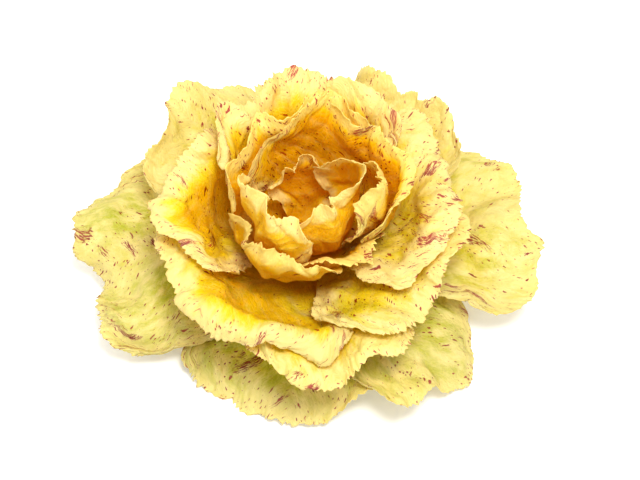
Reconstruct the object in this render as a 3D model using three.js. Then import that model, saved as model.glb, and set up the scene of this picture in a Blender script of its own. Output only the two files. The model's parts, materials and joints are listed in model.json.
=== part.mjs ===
// Head of variegated radicchio, opened like a rose and standing on its cut stem.
// Millimetres, +Z up, -Y is the front. The origin is the middle of the cut stem on the table.
// Leaves grow from a short conical crown, the outermost lowest and the heart highest.
// Each one is a closed blade of its own, and leans on the leaves outside it without touching.
import * as THREE from 'three';

// driving dimensions
const CUT_RADIUS = 12.5;        // flat cut of the stem, where the head stands
const CROWN_START = [15, 5];    // radius and height where the outermost leaf starts
const CROWN_END = [3.4, 36];    // the same for the innermost leaf
const CROWN_INSET = 1.9;        // crown surface inside the leaf starts
const BLADE = 0.8;              // leaf thickness
const RIB = 0.9;                // what the midrib adds to it at the foot of the outermost leaf
const CLEAR = 0.45;             // least space between two leaves
const FLOOR = 1.3;              // lowest height of a leaf's middle surface
const LEAN = -0.14;             // lean of the head towards the front, mm per mm of height
const FOOT = 0.7;               // half of what a leaf's foot takes of the crown's round, radians
const DROP = 0.24;              // share of its length that a leaf lacks at its sides
const STEPS = 60;               // steps in which a leaf's section is followed
const SETTLE = 60;              // rounds in which a leaf settles on the ones outside it
const FURTHEST = 14;            // the most that it moves
const REACH = 11;               // how far apart two leaves feel each other
const BESIDE = 7;               // and how far past each other's edges

// From the outermost to the innermost. az: azimuth, 0 right, 90 back, 180 left, 270 front.
// length along the rib, width: half width. bend: direction of the leaf in degrees, 0 outwards,
// 90 upwards, at 1/4, 1/2, 3/4 and all of its length. rim: what its last quarter turns besides.
// skew: how much longer its left side is than its rib, seen from the heart, as a share.
// seed: sets the leaf's own swings and the cut of its margin.
const LEAVES = [
  { name: 'outer_front', az: 262, length: 94, width: 84, bend: [16, 4, -8, -8], rim: -4, seed: 4 },
  { name: 'outer_fright', az: 310, length: 108, width: 60, bend: [18, 6, -6, -6], rim: -4, seed: 7 },
  { name: 'outer_left', az: 184, length: 118, width: 98, bend: [14, 12, 4, 0], rim: -6, seed: 2 },
  { name: 'outer_right', az: 8, length: 119, width: 84, bend: [18, 16, 8, 4], rim: -4, seed: 3 },
  { name: 'outer_back', az: 97, length: 106, width: 62, bend: [25, 31, 28, 24], rim: -16, seed: 1 },
  { name: 'outer_bleft', az: 134, length: 118, width: 64, bend: [30, 38, 38, 36], rim: -10, seed: 5 },
  { name: 'outer_bright', az: 53, length: 110, width: 60, bend: [32, 42, 44, 42], rim: -8, seed: 6 },
  { name: 'mid_front', az: 276, length: 98, width: 66, bend: [26, 30, 22, 16], rim: -45, seed: 9 },
  { name: 'mid_fleft', az: 228, length: 98, width: 96, bend: [29, 48, 56, 53], rim: -95, seed: 8 },
  { name: 'mid_fright', az: 324, length: 95, width: 84, bend: [30, 43, 44, 40], rim: -50, seed: 10 },
  { name: 'mid_left', az: 174, length: 98, width: 60, bend: [34, 54, 70, 74], rim: -80, seed: 11 },
  { name: 'mid_right', az: 10, length: 98, width: 74, bend: [34, 52, 60, 56], rim: -60, seed: 13 },
  { name: 'mid_back', az: 98, length: 108, width: 80, bend: [38, 55, 66, 62], rim: -30, seed: 12 },
  { name: 'inner_fleft', az: 236, length: 76, width: 50, bend: [38, 58, 82, 100], rim: 20, seed: 16 },
  { name: 'inner_fright', az: 304, length: 62, width: 42, bend: [42, 60, 70, 66], rim: -60, seed: 17 },
  { name: 'inner_bleft', az: 112, length: 96, width: 52, bend: [42, 64, 80, 82], rim: -28, seed: 15 },
  { name: 'inner_bright', az: 60, length: 94, width: 58, bend: [43, 66, 82, 84], rim: -24, seed: 14 },
  { name: 'inner_right', az: 12, length: 86, width: 32, bend: [44, 63, 82, 98], rim: 48, seed: 18 },
  { name: 'heart_left', az: 214, length: 96, width: 38, bend: [50, 72, 92, 112], rim: 5, seed: 19 },
  { name: 'heart_back', az: 94, length: 66, width: 22, bend: [54, 80, 98, 112], rim: 20, seed: 20 },
  { name: 'heart_front', az: 320, length: 78, width: 40, bend: [58, 84, 101, 112], rim: 10, seed: 21,
    skew: 0.22 },
];
// by whorl: grid across and along, edge droop in degrees, ruffle of the margin in mm
const WHORLS = {
  outer: { across: 15, along: 11, side: -2, ruffle: 4.2, colour: 0xdfe08a },
  mid: { across: 15, along: 11, side: -4, ruffle: 3.6, colour: 0xf1e08a },
  inner: { across: 13, along: 10, side: -4, ruffle: 3, colour: 0xf3dc83 },
  heart: { across: 10, along: 9, side: -2, ruffle: 2.2, colour: 0xf0c767 },
};
const NEAR = [32, 2.4];         // how far a leaf follows its neighbours, degrees and orders
const STEEPER = 2.6;            // degrees by which a leaf is steeper than the one outside it
const FOOT_BEND = [8, 1.4];     // direction at the foot: of the outermost leaf, and more for each
// [degrees, waves round the head] of the slow swings, and [waves, reach, mm] of the ruffles
const SWINGS = [[6, 3], [8, 5], [8, 8], [5, 13]];
const RUFFLES = [[5, 2.2, 1], [9, 4, 0.5]];

const rad = (d) => d * Math.PI / 180;
const clamp = (x, a, b) => Math.min(b, Math.max(a, x));
const ease = (a, b, x) => { const t = clamp((x - a) / (b - a), 0, 1); return t * t * (3 - 2 * t); };
const draw = (x) => { const v = Math.sin(x * 12.9898) * 43758.5453; return v - Math.floor(v); };

// smooth curve through evenly spaced values
function through(k, t) {
  const n = k.length - 1;
  const x = clamp(t, 0, 1) * n;
  const i = Math.min(Math.floor(x), n - 1);
  const f = x - i;
  const [a, b, c, d] = [k[Math.max(i - 1, 0)], k[i], k[i + 1], k[Math.min(i + 2, n)]];
  return 0.5 * (2 * b + (c - a) * f + (2 * a - 5 * b + 4 * c - d) * f * f
    + (3 * b - a - 3 * c + d) * f * f * f);
}

// direction of the head's leaves at an order, an azimuth and a distance along the leaf, degrees:
// every leaf follows its neighbours, and a leaf further in is steeper
function flow(order, phi, s) {
  let sum = 0;
  let all = 0;
  LEAVES.forEach((leaf, k) => {
    let da = (phi * 180 / Math.PI - leaf.az) % 360;
    if (da > 180) da -= 360;
    if (da < -180) da += 360;
    const w = Math.exp(-((da / NEAR[0]) ** 2) - ((order - k) / NEAR[1]) ** 2);
    sum += w * (through([FOOT_BEND[0] + FOOT_BEND[1] * order, ...leaf.bend], s / leaf.length)
      + STEEPER * (order - k));
    all += w;
  });
  return sum / all;
}

// the swings that all leaves of an order share round the head, in degrees
function shared(order, phi, t) {
  const reach = ease(0.3, 1, t) ** 1.3;
  return SWINGS.reduce((a, [deg, waves], k) => a
    + deg * reach * Math.sin(waves * phi + k * 1.9 + 0.08 * order), 0);
}

// the leaf's own swings, droop and turned rim, in degrees, at u across (-1..1) and t along (0..1)
function own(leaf, whorl, u, t) {
  let a = whorl.side * u * u * ease(0.1, 0.8, t) + leaf.rim * ease(0.72, 1, t);
  SWINGS.forEach(([deg, waves], k) => {
    a += 0.6 * deg * ease(0.6, 1, t)
      * Math.sin((waves * 0.33 + 0.4) * Math.PI * u + 6.2832 * draw(leaf.seed * 7.13 + k * 3.7));
  });
  return a;
}

// middle surface of a leaf before it meets the others: rows across, columns along
function nominal(leaf, whorl, order) {
  const nu = whorl.across;
  const nv = whorl.along;
  const place = order / (LEAVES.length - 1);
  const r0 = CROWN_START[0] + (CROWN_END[0] - CROWN_START[0]) * place;
  const z0 = CROWN_START[1] + (CROWN_END[1] - CROWN_START[1]) * place;
  // upright section of the leaf's sheet at an azimuth: [radius, height, degrees] at every step
  const step = leaf.length * 1.12 / STEPS;
  const section = (phi) => {
    const line = [[r0, z0, 0]];
    for (let s = 1; s <= STEPS; s++) {
      const at = (s - 0.5) * step;
      const a = flow(order, phi, at) + shared(order, phi, at / leaf.length);
      const [r, z] = line[s - 1];
      line.push([Math.max(2.5, r + Math.cos(rad(a)) * step), z + Math.sin(rad(a)) * step, a]);
    }
    return line;
  };
  const rib = section(rad(leaf.az));
  const half = leaf.width / Math.max(0.9 * rib[Math.round(leaf.length / step)][0], leaf.width / 2.1);
  const azimuth = (u, t) => rad(leaf.az) + u * (FOOT + (half - FOOT) * ease(0, 0.75, t))
    * (1 - 0.08 * ease(0.7, 1, t));
  const points = [];
  for (let i = 0; i < nu; i++) {
    const u = -1 + 2 * i / (nu - 1);
    const jag = (draw(leaf.seed * 5.3 + i * 1.7) - 0.5) * 0.05;
    const len = leaf.length * Math.min(1.12, 1 - DROP * Math.abs(u) ** 3.2 + (leaf.skew ?? 0) * u
      + 0.035 * Math.sin(2.3 * Math.PI * u + leaf.seed * 1.7) + jag);
    let turned = [0, 0];
    for (let j = 0; j < nv; j++) {
      const t = j / (nv - 1);
      const phi = azimuth(u, t);
      const line = section(phi);
      const x = t * len / step;
      const k = Math.min(STEPS - 1, Math.floor(x));
      const [r, z] = [0, 1].map((c) => line[k][c] + (line[k + 1][c] - line[k][c]) * (x - k));
      if (j > 0) {
        for (let m = 0; m < 6; m++) {
          const tm = (j - 1 + (m + 0.5) / 6) / (nv - 1);
          const a = line[Math.min(STEPS, Math.max(1, Math.round(tm * len / step)))][2];
          const d = own(leaf, whorl, u, tm);
          const ds = len / (nv - 1) / 6;
          turned = [turned[0] + (Math.cos(rad(a + d)) - Math.cos(rad(a))) * ds,
            turned[1] + (Math.sin(rad(a + d)) - Math.sin(rad(a))) * ds];
        }
      }
      const R = Math.max(2.5, r + turned[0]);
      points.push([R * Math.cos(phi), R * Math.sin(phi), z + turned[1]]);
    }
  }
  const sheet = { nu, nv, p: points };
  const n = normals(sheet);
  for (let i = 0; i < nu; i++) {
    for (let j = 0; j < nv; j++) {
      const u = -1 + 2 * i / (nu - 1);
      const v = j / (nv - 1);
      const up = Math.max(0, (v - 0.5) / 0.5);
      const rim = (Math.abs(u) ** 6 + up ** 6) ** (1 / 6);
      const turn = Math.atan2(u, (v - 0.5) / 0.5 + 0.6);
      let d = 0;
      RUFFLES.forEach(([waves, reach, mm], k) => {
        d += mm * rim ** reach * Math.sin(waves * turn + leaf.seed * (k + 1) * 1.37);
      });
      d *= whorl.ruffle * ease(0.15, 0.5, v);
      const at = i * nv + j;
      for (let c = 0; c < 3; c++) points[at][c] += n[at][c] * d;
      points[at][1] += LEAN * points[at][2];
      points[at][2] = softFloor(points[at][2]);
    }
  }
  return sheet;
}

// height, eased so that no leaf dips below the floor
function softFloor(z) {
  const x = (z - FLOOR) / 2.5;
  return FLOOR + 2.5 * (x > 20 ? x : Math.log1p(Math.exp(x)));
}

// triangles of a sheet, the same on both faces of its blade
function faces(nu, nv) {
  const out = [];
  for (let i = 0; i < nu - 1; i++) {
    for (let j = 0; j < nv - 1; j++) {
      const a = i * nv + j;
      const b = a + nv;
      out.push(i < (nu - 1) / 2 ? [a, b, b + 1] : [a, b, a + 1]);
      out.push(i < (nu - 1) / 2 ? [a, b + 1, a + 1] : [b, b + 1, a + 1]);
    }
  }
  return out;
}

// normals at the points of a sheet, towards the heart of the head
function normals({ nu, nv, p }) {
  const n = p.map(() => [0, 0, 0]);
  for (const [a, b, c] of faces(nu, nv)) {
    const e = p[b].map((x, k) => x - p[a][k]);
    const f = p[c].map((x, k) => x - p[a][k]);
    const m = [f[1] * e[2] - f[2] * e[1], f[2] * e[0] - f[0] * e[2], f[0] * e[1] - f[1] * e[0]];
    for (const q of [a, b, c]) for (let k = 0; k < 3; k++) n[q][k] += m[k];
  }
  return n.map((m) => { const l = Math.hypot(...m) || 1; return m.map((x) => x / l); });
}

const thickness = (u, v, rib) => BLADE + rib * Math.exp(-((u / 0.13) ** 2)) * (1 - v) ** 2;

// places on a sheet where its distance to others is measured: its points, and the middle of
// every edge, each with the two points it lies between
function probes(sheet) {
  const { nu, nv } = sheet;
  const list = [];
  for (let i = 0; i < nu; i++) {
    for (let j = 0; j < nv; j++) {
      const a = i * nv + j;
      const edge = i === 0 || i === nu - 1 || j === 0 || j === nv - 1;
      list.push([a, a, edge]);
      if (j < nv - 1) list.push([a, a + 1, i === 0 || i === nu - 1]);
      if (i < nu - 1) list.push([a, a + nv, j === 0 || j === nv - 1]);
      if (i < nu - 1 && j < nv - 1) {
        list.push(i < (nu - 1) / 2 ? [a, a + nv + 1, false] : [a + 1, a + nv, false]);
      }
    }
  }
  return list;
}

// probes of a sheet with their places, normals and thickness, sorted into a grid of cells
function measure(sheet) {
  const n = normals(sheet);
  const m = sheet.probes.length;
  const out = { m, x: new Float64Array(m * 3), n: new Float64Array(m * 3), t: new Float64Array(m) };
  out.grid = new Map();
  out.lo = [1e9, 1e9, 1e9];
  out.hi = [-1e9, -1e9, -1e9];
  sheet.probes.forEach(([a, b], i) => {
    let l = 0;
    for (let c = 0; c < 3; c++) {
      out.x[i * 3 + c] = (sheet.p[a][c] + sheet.p[b][c]) / 2;
      out.n[i * 3 + c] = n[a][c] + n[b][c];
      l += out.n[i * 3 + c] ** 2;
      out.lo[c] = Math.min(out.lo[c], out.x[i * 3 + c]);
      out.hi[c] = Math.max(out.hi[c], out.x[i * 3 + c]);
    }
    l = Math.sqrt(l) || 1;
    for (let c = 0; c < 3; c++) out.n[i * 3 + c] /= l;
    out.t[i] = Math.max(sheet.t[a], sheet.t[b]);
    const key = cell(out.x[i * 3], out.x[i * 3 + 1], out.x[i * 3 + 2]);
    if (!out.grid.has(key)) out.grid.set(key, []);
    out.grid.get(key).push(i);
  });
  return out;
}

// number of the cubic cell that a place lies in
const cell = (x, y, z) => (Math.floor(x / REACH) + 500) * 1e6 + (Math.floor(y / REACH) + 500) * 1e3
  + Math.floor(z / REACH) + 500;

// nearest probe of a measured sheet within REACH of a place, or -1
function nearest(m, x, y, z) {
  const key = cell(x, y, z);
  let best = REACH * REACH;
  let q = -1;
  for (let i = -1; i < 2; i++) {
    for (let j = -1; j < 2; j++) {
      for (let k = -1; k < 2; k++) {
        for (const c of m.grid.get(key + i * 1e6 + j * 1e3 + k) ?? []) {
          const d = (m.x[c * 3] - x) ** 2 + (m.x[c * 3 + 1] - y) ** 2 + (m.x[c * 3 + 2] - z) ** 2;
          if (d < best) { best = d; q = c; }
        }
      }
    }
  }
  return q;
}

// what a leaf must move, at its points, to lie inside another with the clearance
function push(leaf, lm, other, om, move, weight) {
  for (const [fm, tm, to, mine] of [[lm, om, other, true], [om, lm, leaf, false]]) {
    for (let i = 0; i < fm.m; i++) {
      const at = [fm.x[i * 3], fm.x[i * 3 + 1], fm.x[i * 3 + 2]];
      if (at.some((x, c) => x < tm.lo[c] - REACH || x > tm.hi[c] + REACH)) continue;
      const q = nearest(tm, ...at);
      if (q < 0) continue;
      const o = mine ? q : i;
      const n = [om.n[o * 3], om.n[o * 3 + 1], om.n[o * 3 + 2]];
      let sd = 0;
      let all = 0;
      for (let c = 0; c < 3; c++) {
        sd += (mine ? 1 : -1) * (at[c] - tm.x[q * 3 + c]) * n[c];
        all += (at[c] - tm.x[q * 3 + c]) ** 2;
      }
      const past = to.probes[q][2] ? Math.sqrt(all) : 0;
      const lack = ((fm.t[i] + tm.t[q]) / 2 + CLEAR - sd) * (1 - ease(BESIDE / 2, BESIDE, past));
      if (lack <= 0) continue;
      const [e, f] = leaf.probes[mine ? i : q];
      for (const v of e === f ? [e] : [e, f]) {
        for (let c = 0; c < 3; c++) move[v][c] += n[c] * lack;
        weight[v] += 1;
      }
    }
  }
}

// settles a leaf on all the leaves outside it
function settle(sheet, outside) {
  const { nu, nv } = sheet;
  let shift = sheet.p.map(() => [0, 0, 0]);
  const start = sheet.p.map((q) => [...q]);
  for (let round = 0; round < SETTLE; round++) {
    const me = measure(sheet);
    const move = sheet.p.map(() => [0, 0, 0]);
    const weight = new Float64Array(sheet.p.length);
    for (const other of outside) {
      const far = [0, 1, 2].some((c) => me.lo[c] > other.m.hi[c] + 3 || me.hi[c] < other.m.lo[c] - 3);
      if (!far) push(sheet, me, other.sheet, other.m, move, weight);
    }
    let worst = 0;
    move.forEach((mv, at) => {
      if (!weight[at]) return;
      const far = Math.hypot(...mv) / weight[at];
      worst = Math.max(worst, far);
      for (let c = 0; c < 3; c++) shift[at][c] += mv[c] / weight[at] * Math.min(1, 2 / far);
      const whole = Math.hypot(...shift[at]);
      if (whole > FURTHEST) for (let c = 0; c < 3; c++) shift[at][c] *= FURTHEST / whole;
    });
    if (worst < 0.02 && round >= SETTLE / 2) break;
    shift = smoothed(shift, nu, nv, round < SETTLE / 2 ? 0.4 : 0.06);
    sheet.p.forEach((q, at) => {
      for (let c = 0; c < 3; c++) q[c] = start[at][c] + shift[at][c];
      const r = Math.hypot(q[0], q[1] - LEAN * q[2]);
      const least = crownRadius(q[2]) + 0.35 + sheet.t[at] / 2;
      if (r < least) {
        q[0] *= least / r;
        q[1] = LEAN * q[2] + (q[1] - LEAN * q[2]) * least / r;
      }
      q[2] = Math.max(q[2], FLOOR);
      for (let c = 0; c < 3; c++) shift[at][c] = q[c] - start[at][c];
    });
  }
}

// vectors on a sheet's points, each drawn towards its neighbours' mean by a share
function smoothed(f, nu, nv, share) {
  return f.map((x, at) => {
    const i = Math.floor(at / nv);
    const j = at % nv;
    const near = [];
    if (i > 0) near.push(f[at - nv]);
    if (i < nu - 1) near.push(f[at + nv]);
    if (j > 0) near.push(f[at - 1]);
    if (j < nv - 1) near.push(f[at + 1]);
    return x.map((y, c) => y * (1 - share) + share * near.reduce((s, m) => s + m[c], 0) / near.length);
  });
}

// radius of the crown at a height
function crownRadius(z) {
  const [r0, z0] = CROWN_START;
  const [r1, z1] = CROWN_END;
  if (z > z1 + 1) return -1;
  return Math.max(0, r0 - CROWN_INSET + (r1 - r0) * clamp((z - z0) / (z1 - z0), 0, 1));
}

// closed blade round a settled middle surface
function blade(sheet) {
  const { nu, nv, p, t } = sheet;
  const n = normals(sheet);
  const m = nu * nv;
  const xyz = [];
  for (const side of [0.5, -0.5]) {
    p.forEach((q, at) => q.forEach((x, k) => xyz.push(x + side * n[at][k] * t[at])));
  }
  const index = [];
  for (const [a, b, c] of faces(nu, nv)) index.push(a, c, b, a + m, b + m, c + m);
  const rim = [];
  for (let i = 0; i < nu - 1; i++) rim.push(i * nv);
  for (let j = 0; j < nv - 1; j++) rim.push((nu - 1) * nv + j);
  for (let i = nu - 1; i > 0; i--) rim.push(i * nv + nv - 1);
  for (let j = nv - 1; j > 0; j--) rim.push(j);
  rim.forEach((a, k) => {
    const b = rim[(k + 1) % rim.length];
    index.push(a, b, b + m, a, b + m, a + m);
  });
  const g = new THREE.BufferGeometry();
  g.setAttribute('position', new THREE.Float32BufferAttribute(xyz, 3));
  g.setIndex(index);
  g.computeVertexNormals();
  return g;
}

const group = new THREE.Group();

// crown: the cut stem and the cone that the leaves grow from
const profile = [new THREE.Vector2(0, 0), new THREE.Vector2(CUT_RADIUS, 0)];
for (let k = 0; k <= 6; k++) {
  const z = CROWN_START[1] + (CROWN_END[1] - CROWN_START[1]) * k / 6;
  profile.push(new THREE.Vector2(crownRadius(z), z));
}
profile.push(new THREE.Vector2(0, CROWN_END[1] + 0.6));
const crownShape = new THREE.LatheGeometry(profile, 32);
crownShape.rotateX(Math.PI / 2);
const spot = crownShape.attributes.position;
for (let i = 0; i < spot.count; i++) spot.setY(i, spot.getY(i) + LEAN * spot.getZ(i));
const crown = new THREE.Mesh(crownShape, new THREE.MeshStandardMaterial(
  { color: 0xe9e2bd, roughness: 0.6, metalness: 0 }));
crown.name = 'crown';
group.add(crown);

const outside = [];
LEAVES.forEach((leaf, order) => {
  const whorl = WHORLS[leaf.name.split('_')[0]];
  const sheet = nominal(leaf, whorl, order);
  const rib = RIB * (1 - 0.8 * order / (LEAVES.length - 1));
  sheet.t = sheet.p.map((q, at) => thickness(-1 + 2 * Math.floor(at / sheet.nv) / (sheet.nu - 1),
    (at % sheet.nv) / (sheet.nv - 1), rib));
  sheet.probes = probes(sheet);
  settle(sheet, outside);
  outside.push({ sheet, m: measure(sheet) });
  const mesh = new THREE.Mesh(blade(sheet), new THREE.MeshStandardMaterial(
    { color: whorl.colour, roughness: 0.55, metalness: 0 }));
  mesh.name = `${leaf.name}_leaf`;
  group.add(mesh);
});

export default group;
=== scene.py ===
"""Looks of the radicchio head: every leaf of the CAD frame, refined, with its margin and colours.

Lengths are in metres, but the leaves are worked out in millimetres until blade_mesh makes them.
"""

import json
import math

import bpy
import numpy as np
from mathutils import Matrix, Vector
from mathutils.bvhtree import BVHTree

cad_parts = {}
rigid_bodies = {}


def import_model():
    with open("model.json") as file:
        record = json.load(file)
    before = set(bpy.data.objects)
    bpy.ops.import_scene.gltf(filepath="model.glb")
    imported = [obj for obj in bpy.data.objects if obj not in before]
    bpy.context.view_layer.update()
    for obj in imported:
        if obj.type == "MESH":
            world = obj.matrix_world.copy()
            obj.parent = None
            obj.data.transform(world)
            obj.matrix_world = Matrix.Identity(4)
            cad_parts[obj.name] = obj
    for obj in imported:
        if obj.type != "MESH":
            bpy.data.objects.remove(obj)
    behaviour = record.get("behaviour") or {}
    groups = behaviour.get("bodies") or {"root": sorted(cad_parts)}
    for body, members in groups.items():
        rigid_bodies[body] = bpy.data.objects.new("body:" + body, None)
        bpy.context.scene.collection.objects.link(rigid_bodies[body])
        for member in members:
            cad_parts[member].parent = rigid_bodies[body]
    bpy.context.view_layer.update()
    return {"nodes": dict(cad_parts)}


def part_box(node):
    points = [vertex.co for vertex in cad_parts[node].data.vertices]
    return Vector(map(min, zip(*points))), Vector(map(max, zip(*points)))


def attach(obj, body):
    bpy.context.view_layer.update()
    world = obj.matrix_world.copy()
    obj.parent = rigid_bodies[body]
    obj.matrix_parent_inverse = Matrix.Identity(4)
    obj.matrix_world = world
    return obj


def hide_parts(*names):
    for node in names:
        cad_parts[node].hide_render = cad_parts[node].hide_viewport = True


for thing in list(bpy.data.objects):  # what Blender starts with
    bpy.data.objects.remove(thing)
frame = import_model()

MM = 0.001
LEAN = -0.14  # lean of the head towards the front, as in the solids

# for each whorl: points of a solid and of the fine surface that replaces it, across and along;
# distance from the margin where the colour is deepest, partly the leaf's own deeper yellow and
# partly painted shade of the hollow; how pale the ribs are
WHORLS = {
    "outer": {"solid": (15, 11), "fine": (236, 54), "deep_mm": 60, "rib": 1.0, "slot": "outer_leaf"},
    "mid": {"solid": (15, 11), "fine": (216, 54), "deep_mm": 34, "rib": 0.3, "slot": "middle_leaf"},
    "inner": {"solid": (13, 10), "fine": (176, 54), "deep_mm": 22, "rib": 0.4, "slot": "inner_leaf"},
    "heart": {"solid": (10, 9), "fine": (132, 56), "deep_mm": 20, "rib": 0.1, "slot": "heart_leaf"},
}
# from the outermost leaf to the innermost: how green it is, how deep its yellow gets away from
# the margin and towards its foot (partly its own colour, partly painted shade of the hollow), how
# flecked it is
LEAVES = {
    "outer_front": (1.00, 1.00, 1.0),
    "outer_fright": (0.75, 0.30, 0.6),
    "outer_left": (0.85, 0.30, 1.2),
    "outer_right": (0.55, 0.40, 0.7),
    "outer_back": (0.45, 0.50, 0.5),
    "outer_bleft": (0.35, 0.40, 0.4),
    "outer_bright": (0.20, 1.30, 0.5),
    "mid_front": (0.85, 0.90, 0.9),
    "mid_fleft": (0.45, 1.10, 0.7),
    "mid_fright": (0.50, 0.65, 1.0),
    "mid_left": (0.10, 1.00, 0.7),
    "mid_right": (0.25, 0.40, 1.3),
    "mid_back": (0.00, 0.80, 1.5),
    "inner_fleft": (0.00, 1.05, 0.4),
    "inner_fright": (0.00, 1.00, 1.0),
    "inner_bleft": (0.00, 1.00, 1.6),
    "inner_bright": (0.00, 1.40, 3.0),
    "inner_right": (0.00, 0.60, 1.2),
    "heart_left": (0.00, 0.75, 0.2),
    "heart_back": (0.00, 1.50, 0.3),
    "heart_front": (0.00, 1.20, 0.2),
}

# blades, in mm
BLADE_MM = 0.5  # thickness of a blade, without its rib
EDGE_MM = 0.3  # and at its margin
RIB_MM = 1.7  # how far a rib stands out of the outer face at the foot
VEIN_MM = 0.35  # and a side vein
VEIN_PITCH_MM = 12  # from one side vein to the next
CUT_MM = 22  # how far inwards the cut of a margin draws the blade along
CLEAR_MM = 0.12  # least space left between two blades
FLOOR_MM = 1.2  # lowest height of a blade's middle
# creases that neighbouring leaves share: width and depth
CREASES_MM = ((36, 5.0), (17, 2.3), (8, 0.9), (4.2, 0.3))
# ruffles of a leaf's own margin: width, depth and reach inwards
RUFFLES_MM = ((30, 2.4, 22), (13, 2.2, 12), (6, 1.2, 6))
# where the rounding of a blade's upper corners starts, and its power: 2 is an ellipse
CORNER_U, CORNER_V, CORNER_POWER = 0.55, 0.5, 2.6

# layers of flecks, as fleck_layer takes them
SMALL_FLECKS = {"cell": 1.9, "size": 0.58, "stretch": 1.8, "share": 0.7, "salt": 3.1}
MIDDLE_FLECKS = {"cell": 3.4, "size": 1.1, "stretch": 2.6, "share": 0.42, "salt": 8.7}
LARGE_FLECKS = {"cell": 13.0, "size": 5.8, "stretch": 2.2, "share": 0.4, "salt": 5.3}

# the crown: radius at each height, and the depth of its leaf scars
CROWN_RADII = {0: 0.0118, 0.0006: 0.0124, 0.005: 0.0128, 0.036: 0.0014}
CROWN_TIP = 0.0002
SCAR_DEPTH = 0.0004
SCARRED = (0.0008, 0.034)  # the heights that the scars lie between

# light and view: the picture is 640 pixels across, of which the head takes 462
LAMPS = {  # place, size and watts
    "key": ((0.15, -0.3, 1.05), 0.3, 8.9),
    "fill": ((-0.8, 0.3, 0.8), 0.9, 2),
}
WORLD_LIGHT = 0.75
FLOOR_GLOW = 0.15
HEAD_WIDTH = 0.26
HEAD_PIXELS = 462
IMAGE_PIXELS = 640
CAMERA_RISE = math.radians(55)  # above the table
CAMERA_FAR = 1.0
TARGET = Vector((0.0056, 0, 0.028))


# ---------------------------------------------------------------- noise, seeded by its place


def hashed(i, j, seed):
    """Value from 0 to 1 for whole numbers i and j."""
    x = np.sin(i * 127.1 + j * 311.7 + seed * 74.7) * 43758.5453
    return x - np.floor(x)


def noise(x, y, seed):
    """Smooth noise from -1 to 1 with features about one unit wide."""
    i, j = np.floor(x), np.floor(y)
    f, g = x - i, y - j
    f, g = f * f * f * (f * (6 * f - 15) + 10), g * g * g * (g * (6 * g - 15) + 10)
    low = hashed(i, j, seed) * (1 - f) + hashed(i + 1, j, seed) * f
    high = hashed(i, j + 1, seed) * (1 - f) + hashed(i + 1, j + 1, seed) * f
    return 2 * (low * (1 - g) + high * g) - 1


def drift(points, wide, seed):
    """Smooth noise of three components, from -1 to 1, at points in space, wide in mm."""
    cell = np.floor(points / wide)
    f = points / wide - cell
    f = f * f * f * (f * (6 * f - 15) + 10)
    out = np.zeros(points.shape)
    for corner in np.ndindex(2, 2, 2):
        near = np.prod(np.where(corner, f, 1 - f), axis=-1)[..., None]
        i, j, k = np.moveaxis(cell + corner, -1, 0)
        out += near * np.stack([hashed(i + 19 * k, j - 7 * k, seed + c) for c in range(3)], -1)
    return 2 * out - 1


def ease(a, b, x):
    """Smooth step of x from 0 at a to 1 at b."""
    t = np.clip((x - a) / (b - a), 0, 1)
    return t * t * (3 - 2 * t)


# ---------------------------------------------------------------- solids of the frame


def sheet_faces(nu, nv):
    """Triangles of a sheet of nu by nv points, as the solids of the leaves have them."""
    out = []
    for i in range(nu - 1):
        for j in range(nv - 1):
            a, b = i * nv + j, (i + 1) * nv + j
            left = i < (nu - 1) / 2
            out += [(a, b, b + 1), (a, b + 1, a + 1)] if left else [(a, b, a + 1), (b, b + 1, a + 1)]
    return out


def rim_of(nu, nv):
    """Points of a sheet's margin in order, from the foot's left corner across to its right."""
    return (
        [i * nv for i in range(nu - 1)]
        + [(nu - 1) * nv + j for j in range(nv - 1)]
        + [i * nv + nv - 1 for i in range(nu - 1, 0, -1)]
        + list(range(nv - 1, 0, -1))
    )


def blade_faces(nu, nv):
    """Triangles of a closed blade: inner face, outer face and the band round its margin."""
    m = nu * nv
    out = []
    for a, b, c in sheet_faces(nu, nv):
        out += [(a, c, b), (a + m, b + m, c + m)]
    rim = rim_of(nu, nv)
    for a, b in zip(rim, rim[1:] + rim[:1]):
        out += [(a, b, b + m), (a, b + m, a + m)]
    return out


def half_edges(faces):
    """For each directed edge of some triangles, the third corner of its triangle."""
    return {pair: c for a, b, c in faces for pair, c in (((a, b), c), ((b, c), a), ((c, a), b))}


def matched(pattern, edges, start, found):
    """Points of a mesh that answer to a pattern's, if its edge found answers to start, or None."""
    place = {start[0]: found[0], start[1]: found[1]}
    todo, seen = [(start, found)], set()
    while todo:
        (a, b), (x, y) = todo.pop()
        if (a, b) in seen:
            continue
        c, z = pattern[a, b], edges.get((x, y))
        if z is None or place.setdefault(c, z) != z:
            return None
        seen |= {(a, b), (b, c), (c, a)}
        todo += [((b, a), (y, x)), ((c, b), (z, y)), ((a, c), (x, z))]
    return place if len(set(place.values())) == len(place) else None


def read_blade(node, nu, nv):
    """Middle surface of a leaf's solid as an array (nu, nv, 3), in mm, read from its triangles."""
    mesh = frame["nodes"][node].data
    co = np.zeros(len(mesh.vertices) * 3)
    mesh.vertices.foreach_get("co", co)
    points, merged = np.unique(np.round(co.reshape(-1, 3) / MM, 3), axis=0, return_inverse=True)
    merged = merged.ravel()
    loops = np.zeros(len(mesh.loops), int)
    mesh.loops.foreach_get("vertex_index", loops)
    edges = half_edges(map(tuple, merged[loops].reshape(-1, 3).tolist()))
    pattern = half_edges(blade_faces(nu, nv))
    start = (0, 1)
    for found in edges:
        place = matched(pattern, edges, start, found)
        if place is None or len(place) != 2 * nu * nv:
            continue
        both = points[[place[k] for k in range(2 * nu * nv)]].reshape(2, nu, nv, 3)
        middle = both.mean(0)
        left, right = (middle[i, 0, :2] - [0, LEAN * middle[i, 0, 2]] for i in (0, -1))
        if left[0] * right[1] - left[1] * right[0] > 0:
            return middle
    raise RuntimeError(f"the solid of {node} isn't a blade of {nu} by {nv} points")


# ---------------------------------------------------------------- fine surface of a leaf


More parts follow.
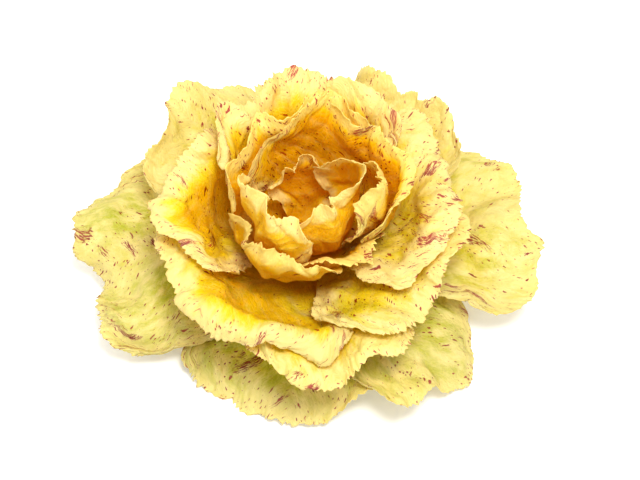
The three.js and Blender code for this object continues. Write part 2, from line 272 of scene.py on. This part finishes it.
def control(values):
    """Control values of the smooth cubic curve through evenly spaced values, along axis 0."""
    n = len(values)
    system = np.zeros((n, n))
    for i in range(1, n - 1):
        system[i, i - 1 : i + 2] = 1 / 6, 4 / 6, 1 / 6
    system[0, 0] = system[-1, -1] = 1
    c = np.linalg.solve(system, values.reshape(n, -1)).reshape(values.shape)
    return np.concatenate([2 * c[:1] - c[1:2], c, 2 * c[-1:] - c[-2:-1]])


def weights(x, n):
    """First control value and the four weights of the cubic curve at places x of n values."""
    k = np.clip(np.floor(x).astype(int), 0, n - 2)
    f = x - k
    four = (1 - f) ** 3, 3 * f**3 - 6 * f**2 + 4, -3 * f**3 + 3 * f**2 + 3 * f + 1, f**3
    return k, [w / 6 for w in four]


class Surface:
    """Smooth surface through a grid of points, over u from -1 to 1 and v from 0 to 1; beyond
    that it goes on as its last cells do."""

    def __init__(self, points):
        self.shape = points.shape[:2]
        across = control(points)
        self.control = control(across.swapaxes(0, 1)).swapaxes(0, 1)

    def at(self, u, v):
        """Points of the surface, in mm."""
        nu, nv = self.shape
        i, wu = weights((u + 1) / 2 * (nu - 1), nu)
        j, wv = weights(v * (nv - 1), nv)
        out = np.zeros(u.shape + (3,))
        for a in range(4):
            for b in range(4):
                out += (wu[a] * wv[b])[..., None] * self.control[i + a, j + b]
        return out


def normals(points):
    """Unit normals of a grid of points, towards the heart of the head."""
    du = np.gradient(points, axis=0)
    dv = np.gradient(points, axis=1)
    n = np.cross(dv, du)
    return n / np.maximum(np.linalg.norm(n, axis=2, keepdims=True), 1e-9)


def teeth(s, seed):
    """Depth in mm that the cut of the margin takes away, at a distance s along it, in mm: lobes of
    about 17 mm, bays of 7, teeth of 4 and crumbs of 2."""
    lobes = 1.6 * (1 + noise(s / 17, 0 * s, seed))
    bays = 1.8 * np.clip(noise(s / 7.5, 0 * s + 9, seed + 1), 0, 1)
    saw = s / 4.4 + 0.9 * noise(s / 7, 0 * s, seed + 2)
    tooth = np.abs(2 * (saw - np.floor(saw)) - 1) * (1 + noise(s / 9, 0 * s + 5, seed))
    crumbs = np.abs(noise(s / 1.9, 0 * s + 3, seed + 3))
    return lobes + bays + 1.5 * tooth + 1.1 * crumbs


def crumple(points):
    """The creases that neighbouring leaves share: a smooth shift of the space they lie in."""
    x, y, z = np.moveaxis(points, -1, 0)
    out = np.hypot(x, y - LEAN * z)
    amount = ease(14, 60, out + 0.5 * z)[..., None]  # none at the crown
    moved = points
    for wide, deep in CREASES_MM:
        moved = moved + deep * amount * drift(moved, wide, wide)
    return moved


def rounded(u, v):
    """Places on a blade whose two upper corners are round instead of square."""
    a = np.maximum(np.abs(u) - CORNER_U, 0) / (1 - CORNER_U)
    b = np.maximum(v - CORNER_V, 0) / (1 - CORNER_V)
    far = (a**CORNER_POWER + b**CORNER_POWER) ** (1 / CORNER_POWER)
    shrink = np.maximum(np.maximum(a, b), 1e-9) / np.maximum(far, 1e-9)
    in_corner = a * b > 0
    u = np.where(in_corner, np.sign(u) * (CORNER_U + (1 - CORNER_U) * a * shrink), u)
    return u, np.where(in_corner, CORNER_V + (1 - CORNER_V) * b * shrink, v)


class Leaf:
    """One leaf: its fine middle surface, in mm, and coordinates on it for folds and colours."""

    def __init__(self, name, seed):
        whorl = WHORLS[name.split("_")[0]]
        self.name, self.seed, self.slot = name, seed, whorl["slot"]
        self.deep_mm, self.rib = whorl["deep_mm"], whorl["rib"]
        self.green, self.deep, self.fleck = LEAVES[name]
        surface = Surface(read_blade(name + "_leaf", *whorl["solid"]))
        nu, nv = whorl["fine"]
        s = np.linspace(0, 1, nv)  # the rows lie closer together towards the top
        u, v = np.meshgrid(np.linspace(-1, 1, nu), s + 0.45 * s * (1 - s), indexing="ij")
        self.measure(surface.at(u, v))
        self.u, self.v = u, v = self.cut(*rounded(u, v))
        self.points = crumple(surface.at(u, v))
        du, dv = (crumple(surface.at(u + a, v + b)) - crumple(surface.at(u - a, v - b))
                  for a, b in ((0.02, 0), (0, 0.015)))
        n = np.cross(dv, du)
        self.inwards = n / np.linalg.norm(n, axis=2, keepdims=True)
        self.tree = tree_of(self.points[::2, ::2])
        self.measure(self.points)

    def cut(self, u, v):
        """Places on the blade with the teeth of its margin, drawn inwards along the blade."""
        side, top, salt = self.half_mm, self.length_mm, self.seed * 3.1
        to_side, to_top = side * (1 - np.abs(u)), top * (1 - v)
        # the top and the two sides read their teeth at places far apart, so that they differ
        upper = teeth(u * side[:, -1:] + 50, salt) * ease(0, 0.32 * side[:, -1:], to_side)
        lateral = teeth(v * top + 200 * np.sign(u), salt) * ease(0.2, 0.5, v) * ease(0, 14, to_top)
        v = v - upper / top * ease(CUT_MM, 0, to_top)
        return u * (1 - lateral / side * ease(CUT_MM, 0, to_side)), v

    def measure(self, p):
        """Distances in mm on the blade: across from the rib, along from the foot."""
        step_v = np.linalg.norm(np.diff(p, axis=1), axis=2)
        step_u = np.linalg.norm(np.diff(p, axis=0), axis=2)
        along = np.concatenate([np.zeros((len(p), 1)), np.cumsum(step_v, axis=1)], axis=1)
        across = np.concatenate([np.zeros((1, p.shape[1])), np.cumsum(step_u, axis=0)])
        self.y_mm = along
        self.x_mm = across - across[len(p) // 2]
        self.length_mm = along[:, -1:]
        self.half_mm = np.maximum(across[-1:] / 2, 1)


def margin_mm(leaf):
    """Distance in mm from each point to the margin, the foot left out."""
    return np.minimum(leaf.length_mm - leaf.y_mm, leaf.half_mm - np.abs(leaf.x_mm))


def vein_coordinates(leaf):
    """Place across the side veins and along them, in mm: they leave the rib and bend forwards."""
    x, y = leaf.x_mm, leaf.y_mm
    bend = 0.75 * np.abs(x) * (1 + 0.004 * np.abs(x))
    wander = 3.0 * noise(x / 30, y / 30, leaf.seed + 0.3)
    return y - bend + wander, x


def vein_pitch(leaf, across, along):
    """Distance in mm from one side vein to the next."""
    return VEIN_PITCH_MM + 2 * noise(across / 40, along / 60, leaf.seed + 7)


def relief(leaf):
    """Height in mm of the blade's folds over its smooth surface, towards the heart."""
    x, y, seed = leaf.x_mm, leaf.y_mm, leaf.seed
    margin = margin_mm(leaf)
    turn = np.arctan2(leaf.u, (leaf.v - 0.5) / 0.5 + 0.6)
    round_mm = turn * 55  # place round the margin
    ruffle = 0 * turn
    for wide, deep, reach in RUFFLES_MM:
        wave = noise(round_mm / wide, margin / wide / 3, seed + wide)
        crest = 1 - 2 * np.abs(noise(round_mm / wide / 1.4, margin / wide / 4 + 7, seed + wide + 1))
        ruffle += deep * (wave + 0.8 * crest) * np.exp(-np.maximum(margin, 0) / reach)
    ruffle *= ease(0.2, 0.55, leaf.v)
    folds = 2.4 * noise(x / 24, y / 34, seed + 4) + 1.2 * noise(x / 10, y / 15, seed + 5)
    folds += 0.8 * (1 - 2 * np.abs(noise(x / 9 + y / 30, y / 22, seed + 9)))
    folds += 0.2 * noise(x / 4, y / 4.5, seed + 6)
    across, along = vein_coordinates(leaf)
    pitch = vein_pitch(leaf, across, along)
    panel = 0.5 - 0.5 * np.cos(2 * np.pi * across / pitch)
    veins = 0.35 * panel**0.7 * ease(2, 12, np.abs(x)) * ease(0.15, 0.45, leaf.v)
    furrow = -0.7 * np.exp(-((x / (2.6 - 1.6 * leaf.v)) ** 2)) * (1 - leaf.v)
    return ruffle + folds * ease(0.08, 0.4, leaf.v) + veins + furrow


def tree_of(points):
    """Search tree of a grid of points, for the nearest place on it."""
    nu, nv = points.shape[:2]
    quads = [
        (i * nv + j, i * nv + j + 1, (i + 1) * nv + j + 1, (i + 1) * nv + j)
        for i in range(nu - 1)
        for j in range(nv - 1)
    ]
    return BVHTree.FromPolygons([Vector(p) for p in points.reshape(-1, 3)], quads)


def room(leaf, leaves, step=3, reach=12.0):
    """Distances in mm, at most reach, from each point of a leaf to the nearest other leaf: on the
    side of the heart, and on the other side."""
    nu, nv = leaf.points.shape[:2]
    at_u, at_v = (np.unique(np.append(np.arange(0, n, step), n - 1)) for n in (nu, nv))
    some = leaf.points[np.ix_(at_u, at_v)]
    inwards = leaf.inwards[np.ix_(at_u, at_v)]
    least = np.full((2,) + some.shape[:2], reach)
    for other in leaves:
        if other is leaf:
            continue
        low, high = other.points.min((0, 1)) - reach, other.points.max((0, 1)) + reach
        inside = ((some > low) & (some < high)).all(2)
        for i, j in zip(*np.nonzero(inside)):
            place, _, _, far = other.tree.find_nearest(Vector(some[i, j]), reach)
            if place is None:
                continue
            side = np.dot(np.array(place) - some[i, j], inwards[i, j])
            # a place that is about level with the blade counts on both sides
            for k, sign in enumerate((1, -1)):
                if side * sign > -0.3 * far:
                    least[k, i, j] = min(least[k, i, j], far)
    both = []
    for side in least:
        rows = np.array([np.interp(np.arange(nv), at_v, row) for row in side])
        both.append(np.array([np.interp(np.arange(nu), at_u, col) for col in rows.T]).T)
    return both


def spread(values, rounds):
    """Values on a grid, smoothed over their neighbours."""
    for _ in range(rounds):
        p = np.pad(values, 1, mode="edge")
        values = (4 * values + p[:-2, 1:-1] + p[2:, 1:-1] + p[1:-1, :-2] + p[1:-1, 2:]) / 8
    return values


# ---------------------------------------------------------------- meshes


def blade_quads(nu, nv):
    """Quads of a closed blade: inner face, outer face and, last, the band round its margin; and
    how many the band has."""
    m = nu * nv
    a = (np.arange(nu - 1)[:, None] * nv + np.arange(nv - 1)[None]).ravel()
    b = a + nv
    front = np.stack([a, a + 1, b + 1, b], 1)
    back = np.stack([a, b, b + 1, a + 1], 1) + m
    rim = np.array(rim_of(nu, nv))
    after = np.roll(rim, -1)
    band = np.stack([rim, after, after + m, rim + m], 1)
    return np.concatenate([front, back, band]), len(rim)


def bake_layout(nu, nv, loops, band):
    """A layout with no overlap: inner face, outer face and the band's quads side by side."""
    flat = np.stack(np.meshgrid(np.linspace(0, 1, nu), np.linspace(0, 1, nv), indexing="ij"), 2)
    flat = flat.reshape(-1, 2)
    uv = np.concatenate([flat * (0.47, 0.98) + (0.01, 0.01), flat * (0.46, 0.98) + (0.5, 0.01)])[loops]
    strip = np.linspace(0.01, 0.99, band + 1)
    corners = np.stack([strip[:-1], strip[1:], strip[1:], strip[:-1]], 1).ravel()
    uv[-band * 4 :] = np.stack([np.tile([0.97, 0.97, 0.99, 0.99], band), corners], 1)
    return uv


def blade_mesh(leaf):
    """Closed mesh of a leaf, with its UV maps and the attributes that its material reads."""
    nu, nv = leaf.points.shape[:2]
    n = normals(leaf.points)
    margin = margin_mm(leaf)
    half = (EDGE_MM + (BLADE_MM - EDGE_MM) * ease(0, 4, margin)) / 2
    half_rib = 1.2 + 4.5 * (1 - leaf.v) ** 1.5
    rib = RIB_MM * (1 - leaf.v) ** 1.3 * np.exp(-((leaf.x_mm / half_rib) ** 2) * 1.6)
    across, along = vein_coordinates(leaf)
    pitch = vein_pitch(leaf, across, along)
    line = np.abs(across / pitch - np.round(across / pitch)) * pitch
    vein = np.exp(-((line / 0.9) ** 2)) * ease(0, 0.3, leaf.v) * ease(0, 14, margin)
    inner = leaf.points + n * half[..., None]
    outer = leaf.points - n * (half + rib + VEIN_MM * vein)[..., None]
    faces, band = blade_quads(nu, nv)
    loops = faces.ravel()

    mesh = bpy.data.meshes.new(leaf.name + "_blade")
    co = np.concatenate([inner.reshape(-1, 3), outer.reshape(-1, 3)]) * MM
    mesh.vertices.add(len(co))
    mesh.vertices.foreach_set("co", co.ravel())
    mesh.loops.add(len(loops))
    mesh.loops.foreach_set("vertex_index", loops)
    mesh.polygons.add(len(faces))
    mesh.polygons.foreach_set("loop_start", np.arange(0, len(loops), 4))
    mesh.polygons.foreach_set("use_smooth", np.ones(len(faces), bool))
    mesh.update(calc_edges=True)

    # along and across the side veins in units of 100 mm, moved apart for each leaf
    veins = np.stack([along, across], 2).reshape(-1, 2) / 100 + leaf.seed * 7.3
    write_uv(mesh, "Veins", np.concatenate([veins, veins])[loops])
    write_uv(mesh, "OFBake", bake_layout(nu, nv, loops, band))
    midrib = leaf.rib * np.exp(-((leaf.x_mm / half_rib) ** 2)) * (1 - ease(0.5, 0.95, leaf.v))
    write_tints(mesh, leaf, margin, midrib, vein)
    return mesh


def write_tints(mesh, leaf, margin, midrib, vein):
    """How green, deep, pale and flecked a leaf is at each point."""
    patch = 0.5 + 0.5 * noise(leaf.x_mm / 30, leaf.y_mm / 30, leaf.seed + 8)
    at_margin = np.exp(-np.maximum(margin, 0) / 9)
    green = leaf.green * (0.35 + 0.9 * patch) * (1 - 0.75 * at_margin) * ease(0.05, 0.5, leaf.v)
    # painted shade, in part: the colour deepens away from the margin and towards the foot, into the hollow
    # where shade falls, besides the leaf's own deeper yellow
    away = np.maximum(ease(2, leaf.deep_mm, margin), 1 - ease(0.15, 0.5, leaf.v))
    some = 0.55 + 0.9 * noise(leaf.x_mm / 22, leaf.y_mm / 22, leaf.seed + 9) + at_margin
    write_value(mesh, "green", green)
    write_value(mesh, "deep", leaf.deep * away * (0.75 + 0.5 * patch), 0.7)
    write_value(mesh, "pale", np.maximum(midrib, 0.55 * vein * ease(0.2, 0.6, leaf.v)))
    write_value(mesh, "fleck", leaf.fleck * some * (1 - 0.7 * midrib) * ease(0.1, 0.4, leaf.v))


def write_uv(mesh, name, uv):
    """UV map with a place for each corner of the mesh's faces."""
    layer = mesh.uv_layers.new(name=name)
    layer.data.foreach_set("uv", np.ascontiguousarray(uv, np.float32).ravel())


def write_value(mesh, name, values, outer_share=1.0):
    """Values from 0 to 2 on a blade's inner points, and a share of them on its outer points."""
    attribute = mesh.attributes.new(name, "FLOAT", "POINT")
    inner = np.clip(values, 0, 2).ravel()
    both = np.concatenate([inner, inner * outer_share]).astype(np.float32)
    attribute.data.foreach_set("value", both)


# ---------------------------------------------------------------- materials


def srgb(r, g, b):
    """Colour of 0-255 screen values as linear RGBA."""
    return tuple(c / 12.92 if c <= 0.04045 else ((c + 0.055) / 1.055) ** 2.4
                 for c in (r / 255, g / 255, b / 255)) + (1.0,)


# colour of the margin, of the blade and of the hollow, for each whorl; the yellow and orange
# are partly the leaf's own colour and partly painted shade of the hollow
TISSUE_AND_SHADE = {
    "outer_leaf": (srgb(243, 232, 162), srgb(238, 224, 60), srgb(236, 208, 8)),
    "middle_leaf": (srgb(252, 238, 164), srgb(250, 228, 44), srgb(246, 203, 0)),
    "inner_leaf": (srgb(254, 239, 146), srgb(253, 220, 20), srgb(246, 196, 0)),
    "heart_leaf": (srgb(255, 240, 160), srgb(254, 222, 40), srgb(246, 196, 0)),
}
GREEN = srgb(184, 190, 26)
PALE_RIB = srgb(255, 244, 182)
PALE_NET = srgb(255, 246, 180)
WINE, ROSE = srgb(156, 42, 88), srgb(198, 94, 132)
THROUGH = srgb(255, 240, 96)  # tint of the light that comes through a blade
STEM, STEM_FIBRE = srgb(242, 234, 168), srgb(224, 208, 128)
# the amber of the stem's top is painted shade of the heart's hollow
STEM_TOP_SHADE, STEM_CUT = srgb(246, 190, 30), srgb(158, 112, 70)


class Nodes:
    """Short calls to make and join the nodes of one material."""

    def __init__(self, name):
        self.material = bpy.data.materials.new(name)
        self.material.use_nodes = True
        self.tree = self.material.node_tree
        self.tree.nodes.clear()

    def new(self, kind, inputs=(), **settings):
        """Node of a kind. Its inputs, by number or name, are values or other nodes' outputs."""
        node = self.tree.nodes.new(kind)
        for key, value in settings.items():
            setattr(node, key, value)
        for key, value in dict(inputs).items():
            if isinstance(value, bpy.types.NodeSocket):
                self.tree.links.new(value, node.inputs[key])
            else:
                node.inputs[key].default_value = value
        return node

    def value(self, name):
        """A value that write_value has stored on the mesh."""
        return self.new("ShaderNodeAttribute", attribute_name=name).outputs["Fac"]

    def math(self, operation, a, b=0.0, c=0.0):
        """Sum, product or other operation on numbers."""
        return self.new("ShaderNodeMath", {0: a, 1: b, 2: c}, operation=operation).outputs[0]

    def vector(self, operation, a, b, c=(0, 0, 0)):
        """The same on vectors."""
        return self.new("ShaderNodeVectorMath", {0: a, 1: b, 2: c}, operation=operation).outputs[0]

    def mix(self, factor, a, b, blend="MIX"):
        """Colour a with b over it."""
        node = self.new("ShaderNodeMix", {0: factor, 6: a, 7: b}, data_type="RGBA", blend_type=blend)
        return node.outputs[2]

    def ramp(self, value, low, high):
        """Smooth step of a value from 0 at low to 1 at high."""
        node = self.new("ShaderNodeMapRange", {0: value, 1: low, 2: high}, interpolation_type="SMOOTHSTEP")
        return node.outputs[0]

    def noise(self, place, scale, detail, roughness=0.5, dimensions="2D"):
        """Outputs of a noise texture."""
        inputs = {"Vector": place, "Scale": scale, "Detail": detail, "Roughness": roughness}
        return self.new("ShaderNodeTexNoise", inputs, noise_dimensions=dimensions).outputs

    def net(self, place, scale):
        """Distance to the nearest line of a net of cells."""
        inputs = {"Vector": place, "Scale": scale}
        return self.new("ShaderNodeTexVoronoi", inputs, voronoi_dimensions="2D",
                        feature="DISTANCE_TO_EDGE").outputs["Distance"]

    def surface(self, shader):
        """The finished material, with this shader."""
        self.new("ShaderNodeOutputMaterial", {0: shader.outputs[0]})
        return self.material


def fleck_layer(n, place, grain, cell, size, stretch, share, salt):
    """Mask of flecks: one in some cells of a Voronoi pattern, longer along the veins.

    place: on the blade, in units of 100 mm. grain: noise that makes the outlines ragged.
    cell, size: width of a cell and of the largest fleck in mm. stretch: length over width.
    share: of the cells that have a fleck, where the leaf's fleck value is 1. salt: moves the
    pattern, so that no two layers are alike.
    """
    scaled = n.vector("MULTIPLY", place, (100 / cell / stretch, 100 / cell, 1))
    shifted = n.vector("ADD", scaled, (salt, salt * 1.7, 0))
    voronoi = n.new("ShaderNodeTexVoronoi", {"Vector": shifted, "Scale": 1.0, "Randomness": 1.0},
                    voronoi_dimensions="2D", feature="F1")
    draw = n.new("ShaderNodeSeparateColor", {0: voronoi.outputs["Color"]})
    radius = n.math("MULTIPLY_ADD", n.math("POWER", draw.outputs[0], 3.0), 0.85, 0.15)
    radius = n.math("MULTIPLY", radius, size / cell)
    has = n.math("LESS_THAN", draw.outputs[1], n.math("MULTIPLY", n.value("fleck"), share))
    ragged = n.math("MULTIPLY_ADD", n.math("SUBTRACT", grain, 0.5), 1.3 * size / cell, radius)
    inside = n.math("SUBTRACT", ragged, voronoi.outputs["Distance"])
    return n.math("MULTIPLY", n.ramp(inside, 0.0, 0.35 * size / cell), has)


def tissue_and_shade_colour(n, cloud, net, cream, yellow, orange):
    """Colour of a leaf without its flecks: deeper in the hollow, partly its own colour and partly painted
    shade, green in patches, pale veins.
    """
    # painted shade, in part: the deep value turns cream into yellow and orange towards the hollow
    deep = n.math("ADD", n.value("deep"), n.math("MULTIPLY", n.math("SUBTRACT", cloud, 0.5), 0.8))
    tissue = n.mix(n.ramp(deep, 0.05, 0.55), cream, yellow)
    tissue = n.mix(n.ramp(deep, 0.45, 1.05), tissue, orange)
    green = n.math("MULTIPLY", n.value("green"), n.ramp(cloud, 0.25, 0.75))
    tissue = n.mix(green, tissue, GREEN)
    tissue = n.mix(n.math("MULTIPLY", n.value("pale"), 0.4), tissue, PALE_RIB)
    return n.mix(n.math("MULTIPLY", n.ramp(net, 0.10, 0.0), 0.15), tissue, PALE_NET)


def leaf_material(name, cream, yellow, orange):
    """Leaf tissue: cream at the margin, yellow and orange deeper down, partly its own colour and
    partly painted shade of the hollow, greenish in patches, paler along rib and veins, with
    wine-red flecks, thin enough to let light through."""
    n = Nodes(name)
    # the map is in units of 100 mm, so that a scale of 100 makes features of about 1 mm
    uv = n.new("ShaderNodeUVMap", uv_map="Veins").outputs[0]
    warp = n.vector("SUBTRACT", n.noise(uv, 26.0, 3.0)["Color"], (0.5, 0.5, 0.5))
    bent = n.vector("MULTIPLY_ADD", warp, (0.014, 0.014, 0), uv)
    cloud = n.noise(uv, 9.0, 4.0, roughness=0.6)["Fac"]
    grain = n.noise(uv, 110.0, 2.0)["Fac"]
    pucker = n.noise(uv, 45.0, 3.0)["Fac"]
    streak = n.noise(n.vector("MULTIPLY", bent, (0.16, 1, 1)), 150.0, 2.0)["Fac"]
    net, fine_net = n.net(bent, 34.0), n.net(bent, 95.0)

    small = fleck_layer(n, bent, grain, **SMALL_FLECKS)
    middle = fleck_layer(n, bent, grain, **MIDDLE_FLECKS)
    large = n.math("MULTIPLY", fleck_layer(n, bent, streak, **LARGE_FLECKS), n.ramp(streak, 0.38, 0.54))
    flecks = n.math("MAXIMUM", n.math("MAXIMUM", small, middle), large)
    wine = n.mix(n.ramp(cloud, 0.35, 0.65), WINE, ROSE)
    tissue = tissue_and_shade_colour(n, cloud, net, cream, yellow, orange)
    colour = n.mix(n.math("MULTIPLY", flecks, 0.92), tissue, wine, "MULTIPLY")

    between_veins = n.math("MULTIPLY", n.ramp(net, 0.0, 0.3), 0.5)
    between_fine = n.math("MULTIPLY", n.ramp(fine_net, 0.0, 0.3), 0.2)
    grown = n.math("ADD", n.math("MULTIPLY_ADD", streak, 0.3, pucker), between_fine)
    height = n.math("ADD", between_veins, grown)
    bump = n.new("ShaderNodeBump", {"Height": height, "Strength": 0.4, "Distance": 0.0008}).outputs[0]
    gloss = n.math("MULTIPLY_ADD", pucker, 0.25, 0.26)
    skin = n.new("ShaderNodeBsdfPrincipled", {"Base Color": colour, "Roughness": gloss,
                                              "Specular IOR Level": 0.36, "Normal": bump})
    glow = n.mix(1.0, colour, THROUGH, "MULTIPLY")
    through = n.new("ShaderNodeBsdfTranslucent", {"Color": glow, "Normal": bump})
    both = n.new("ShaderNodeMixShader", {0: 0.4, 1: skin.outputs[0], 2: through.outputs[0]})
    return n.surface(both)


def crown_material():
    """Pale stem, browner where the cut has dried, and amber further up as painted shade of the heart's
    hollow.
    """
    n = Nodes("crown")
    place = n.new("ShaderNodeTexCoord").outputs["Object"]
    fibre = n.noise(place, 420.0, 4.0, dimensions="3D")["Fac"]
    height = n.new("ShaderNodeSeparateXYZ", {0: place}).outputs[2]
    dried = n.ramp(height, 0.004, 0.0)
    colour = n.mix(n.ramp(fibre, 0.35, 0.7), STEM, STEM_FIBRE)
    # painted shade: amber further up, where the stem lies at the bottom of the heart's hollow
    colour = n.mix(n.ramp(height, 0.008, 0.026), colour, STEM_TOP_SHADE)
    colour = n.mix(n.math("MULTIPLY", dried, n.ramp(fibre, 0.2, 0.75)), colour, STEM_CUT)
    bump = n.new("ShaderNodeBump", {"Height": fibre, "Strength": 0.4, "Distance": 0.0005}).outputs[0]
    skin = n.new("ShaderNodeBsdfPrincipled", {"Base Color": colour, "Roughness": 0.7, "Normal": bump})
    return n.surface(skin)


# ---------------------------------------------------------------- pieces


def add_piece(name, mesh, material):
    """Object in the scene with this mesh and material."""
    piece = bpy.data.objects.new(name, mesh)
    bpy.context.scene.collection.objects.link(piece)
    mesh.materials.append(material)
    return piece


def make_leaves():
    """Every leaf, its folds held back where another leaf is close."""
    materials = {slot: leaf_material(slot, *colours) for slot, colours in TISSUE_AND_SHADE.items()}
    leaves = [Leaf(name, k + 1) for k, name in enumerate(LEAVES)]
    rooms = [room(leaf, leaves) for leaf in leaves]
    for leaf, sides in zip(leaves, rooms):
        inner, outer = (spread(np.maximum(0, far / 2 - BLADE_MM / 2 - CLEAR_MM), 2) + 1e-3
                        for far in sides)
        height = relief(leaf)
        free = np.where(height > 0, inner, outer)
        leaf.points = leaf.points + leaf.inwards * (free * np.tanh(height / free))[..., None]
        leaf.points[..., 2] = np.maximum(leaf.points[..., 2], FLOOR_MM)
        piece = add_piece(leaf.name, blade_mesh(leaf), materials[leaf.slot])
        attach(piece, "root")
        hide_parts(leaf.name + "_leaf")


def make_crown():
    """The cut stem: the solid's cone with the scars that fallen leaves have left."""
    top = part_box("crown")[1].z
    rings, sides = 34, 72
    z = np.linspace(0, top, rings)[:, None]
    turn = np.linspace(0, 2 * np.pi, sides, endpoint=False)[None]
    radius = np.interp(z, [*CROWN_RADII, top], [*CROWN_RADII.values(), CROWN_TIP])
    scars = SCAR_DEPTH * np.sin(turn * 5 + z * 900) * np.sin(z * 1400)
    radius = radius + np.where((z > SCARRED[0]) & (z < SCARRED[1]), scars, 0)
    x, y = radius * np.cos(turn), radius * np.sin(turn) + LEAN * z
    co = np.stack([x, y, z + 0 * turn], 2).reshape(-1, 3)
    faces = [
        (i * sides + j, i * sides + (j + 1) % sides, (i + 1) * sides + (j + 1) % sides, (i + 1) * sides + j)
        for i in range(rings - 1)
        for j in range(sides)
    ]
    faces += [tuple(range(sides - 1, -1, -1)), tuple((rings - 1) * sides + j for j in range(sides))]
    mesh = bpy.data.meshes.new("crown_stem")
    mesh.from_pydata(co.tolist(), [], faces)
    mesh.polygons.foreach_set("use_smooth", np.arange(len(faces)) < len(faces) - 2)
    piece = add_piece("crown_stem", mesh, crown_material())
    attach(piece, "root")
    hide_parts("crown")


# ---------------------------------------------------------------- stage


def make_stage():
    """White floor and soft studio light from above."""
    bpy.ops.mesh.primitive_plane_add(size=40)
    floor = bpy.context.object
    floor.name = "floor"
    n = Nodes("floor")
    skin = n.new("ShaderNodeBsdfPrincipled", {
        "Base Color": (0.9, 0.9, 0.9, 1), "Roughness": 0.9,
        "Emission Color": (1, 1, 1, 1), "Emission Strength": FLOOR_GLOW,
    })
    floor.data.materials.append(n.surface(skin))

    scene = bpy.context.scene
    scene.world = scene.world or bpy.data.worlds.new("studio")
    scene.world.use_nodes = True
    background = scene.world.node_tree.nodes["Background"]
    background.inputs[0].default_value = (1, 1, 1, 1)
    background.inputs[1].default_value = WORLD_LIGHT
    for name, (place, size, watts) in LAMPS.items():
        data = bpy.data.lights.new(name, "AREA")
        data.size, data.energy = size, watts
        light = bpy.data.objects.new(name, data)
        scene.collection.objects.link(light)
        light.location = place
        light.rotation_euler = (-Vector(place)).to_track_quat("-Z", "Y").to_euler()
    scene.view_settings.view_transform = "Standard"
    scene.view_settings.look = "Medium High Contrast"


def make_camera():
    """Camera above the front, far enough that the head fills its share of the picture."""
    data = bpy.data.cameras.new("camera")
    data.sensor_width = 36
    data.lens = data.sensor_width * CAMERA_FAR * HEAD_PIXELS / (HEAD_WIDTH * IMAGE_PIXELS)
    camera = bpy.data.objects.new("camera", data)
    bpy.context.scene.collection.objects.link(camera)
    camera.location = TARGET + CAMERA_FAR * Vector((0, -math.cos(CAMERA_RISE), math.sin(CAMERA_RISE)))
    camera.rotation_euler = (TARGET - camera.location).to_track_quat("-Z", "Y").to_euler()
    bpy.context.scene.camera = camera


make_stage()
make_camera()
make_crown()
make_leaves()
bpy.context.view_layer.update()
